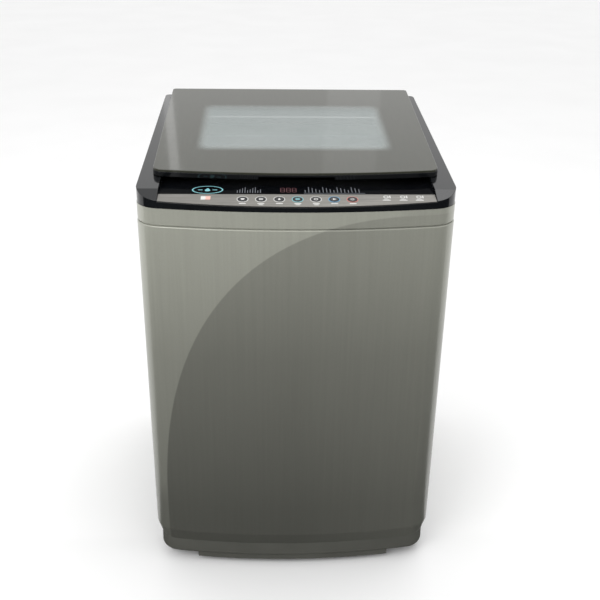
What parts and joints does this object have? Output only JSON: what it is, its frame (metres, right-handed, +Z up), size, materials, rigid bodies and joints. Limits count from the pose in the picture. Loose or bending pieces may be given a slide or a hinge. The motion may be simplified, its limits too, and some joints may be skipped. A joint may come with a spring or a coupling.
{
  "type": "top load washing machine",
  "caption": "Top-loading washing machine with sloping glass lid, bowed steel cabinet, front control strip, sprung tub, perforated basket and pulsator.",
  "frame": {"origin": "centre of the footprint on the floor", "axes": "+X to the machine's right seen from the front, +Y to the rear, +Z up"},
  "size_m": [0.58, 0.6, 0.8898],
  "materials": {
    "cabinet_paint": "satin metallic grey",
    "rear_panel_steel": "galvanised",
    "base_plastic": "satin",
    "foot_rubber": "matt",
    "top_frame_plastic": "satin metallic grey",
    "console_black": "gloss",
    "brushed_strip": "brushed",
    "display_black": "gloss",
    "board_green": "satin",
    "mat_silicone": "matt",
    "valve_plastic": "satin",
    "dispenser_plastic": "satin",
    "drain_plastic": "satin",
    "gland_plastic": "satin",
    "bumper_rubber": "matt",
    "rod_steel": "zinc plated",
    "spring_steel": "oiled",
    "lid_plastic": "gloss",
    "lid_glass": "gloss, printed border",
    "pin_steel": "ground",
    "button_black": "gloss",
    "tub_plastic": "satin",
    "housing_aluminium": "cast",
    "seal_rubber": "matt",
    "bearing_steel": "polished",
    "plate_steel": "satin",
    "motor_paint": "satin",
    "basket_steel": "brushed",
    "ring_plastic": "satin",
    "shaft_steel": "ground",
    "filter_plastic": "satin",
    "pulsator_plastic": "gloss",
    "pulley_aluminium": "turned"
  },
  "bodies": {
    "cabinet": {"cabinet_shell": "cabinet_paint", "rear_panel": "rear_panel_steel", "base_frame": "base_plastic", "rear_foot_left": "foot_rubber", "rear_foot_right": "foot_rubber", "top_frame": "top_frame_plastic", "console_frame": "console_black", "button_strip": "brushed_strip", "display_window": "display_black", "control_board": "board_green", "button_mat": "mat_silicone", "inlet_valve": "valve_plastic", "dispenser_housing": "dispenser_plastic", "drain_outlet": "drain_plastic", "cord_gland": "gland_plastic", "lid_bumper_left": "bumper_rubber", "lid_bumper_right": "bumper_rubber", "suspension_rod_front_left": "rod_steel", "suspension_rod_front_right": "rod_steel", "suspension_rod_rear_left": "rod_steel", "suspension_rod_rear_right": "rod_steel", "suspension_spring_front_left": "spring_steel", "suspension_spring_front_right": "spring_steel", "suspension_spring_rear_left": "spring_steel", "suspension_spring_rear_right": "spring_steel"},
    "foot_left": {"levelling_foot_left": "foot_rubber"},
    "foot_right": {"levelling_foot_right": "foot_rubber"},
    "lid": {"lid_frame": "lid_plastic", "lid_glass": "lid_glass", "hinge_pin_left": "pin_steel", "hinge_pin_right": "pin_steel"},
    "drawer": {"detergent_drawer": "dispenser_plastic"},
    "button_body_1": {"button_1": "button_black"},
    "button_body_2": {"button_2": "button_black"},
    "button_body_3": {"button_3": "button_black"},
    "button_body_4": {"button_4": "button_black"},
    "button_body_5": {"button_5": "button_black"},
    "button_body_6": {"button_6": "button_black"},
    "button_body_7": {"button_7": "button_black"},
    "tub": {"outer_tub": "tub_plastic", "tub_cover": "tub_plastic", "clutch_housing": "housing_aluminium", "shaft_seal": "seal_rubber", "bearing_lower": "bearing_steel", "bearing_upper": "bearing_steel", "support_plate": "plate_steel", "motor": "motor_paint", "drain_valve": "drain_plastic", "drive_belt": "seal_rubber"},
    "basket": {"basket_shell": "basket_steel", "balance_ring": "ring_plastic", "basket_base": "ring_plastic", "spin_shaft": "shaft_steel", "lint_filter": "filter_plastic"},
    "agitator": {"pulsator": "pulsator_plastic", "pulsator_screw": "shaft_steel", "wash_shaft": "shaft_steel"},
    "clutch_wheel": {"clutch_pulley": "pulley_aluminium"},
    "motor_wheel": {"motor_pulley": "pulley_aluminium"}
  },
  "joints": [
    {"name": "lid_hinge", "type": "hinge", "parent": "cabinet", "child": "lid", "pos_m": [0, 0.276, 0.862], "axis": [-1, 0, 0], "range_deg": [0, 95]},
    {"name": "drawer_slide", "type": "slide", "parent": "cabinet", "child": "drawer", "axis": [0, -1, 0], "range_m": [0, 0.07]},
    {"name": "foot_left_screw", "type": "slide", "parent": "cabinet", "child": "foot_left", "axis": [0, 0, -1], "range_m": [0, 0.01]},
    {"name": "foot_right_screw", "type": "slide", "parent": "cabinet", "child": "foot_right", "axis": [0, 0, -1], "range_m": [0, 0.01]},
    {"name": "button_1_press", "type": "slide", "parent": "cabinet", "child": "button_body_1", "axis": [0, 0.175, -0.9846], "range_m": [0, 0.0012], "stiffness_N_per_m": 800, "springref_m": -0.0004},
    {"name": "button_2_press", "type": "slide", "parent": "cabinet", "child": "button_body_2", "axis": [0, 0.175, -0.9846], "range_m": [0, 0.0012], "stiffness_N_per_m": 800, "springref_m": -0.0004},
    {"name": "button_3_press", "type": "slide", "parent": "cabinet", "child": "button_body_3", "axis": [0, 0.175, -0.9846], "range_m": [0, 0.0012], "stiffness_N_per_m": 800, "springref_m": -0.0004},
    {"name": "button_4_press", "type": "slide", "parent": "cabinet", "child": "button_body_4", "axis": [0, 0.175, -0.9846], "range_m": [0, 0.0012], "stiffness_N_per_m": 800, "springref_m": -0.0004},
    {"name": "button_5_press", "type": "slide", "parent": "cabinet", "child": "button_body_5", "axis": [0, 0.175, -0.9846], "range_m": [0, 0.0012], "stiffness_N_per_m": 800, "springref_m": -0.0004},
    {"name": "button_6_press", "type": "slide", "parent": "cabinet", "child": "button_body_6", "axis": [0, 0.175, -0.9846], "range_m": [0, 0.0012], "stiffness_N_per_m": 800, "springref_m": -0.0004},
    {"name": "button_7_press", "type": "slide", "parent": "cabinet", "child": "button_body_7", "axis": [0, 0.175, -0.9846], "range_m": [0, 0.0012], "stiffness_N_per_m": 800, "springref_m": -0.0004},
    {"name": "tub_bounce", "type": "slide", "parent": "cabinet", "child": "tub", "axis": [0, 0, 1], "range_m": [-0.02, 0.006], "stiffness_N_per_m": 14000, "springref_m": 0.01693, "deforming": ["suspension_spring_front_left", "suspension_spring_front_right", "suspension_spring_rear_left", "suspension_spring_rear_right"]},
    {"name": "basket_spin", "type": "hinge", "parent": "tub", "child": "basket", "pos_m": [0, 0, 0.4], "axis": [0, 0, 1], "continuous": true},
    {"name": "pulsator_spin", "type": "hinge", "parent": "tub", "child": "agitator", "pos_m": [0, 0, 0.2], "axis": [0, 0, 1], "continuous": true},
    {"name": "clutch_pulley_spin", "type": "hinge", "parent": "tub", "child": "clutch_wheel", "pos_m": [0, 0, 0.085], "axis": [0, 0, 1], "continuous": true},
    {"name": "motor_pulley_spin", "type": "hinge", "parent": "tub", "child": "motor_wheel", "pos_m": [0, 0.165, 0.085], "axis": [0, 0, 1], "continuous": true}
  ],
  "couplings": [
    {"joint": "clutch_pulley_spin", "follows": "pulsator_spin", "ratio": 5},
    {"joint": "motor_pulley_spin", "follows": "pulsator_spin", "ratio": 16.667}
  ]
}
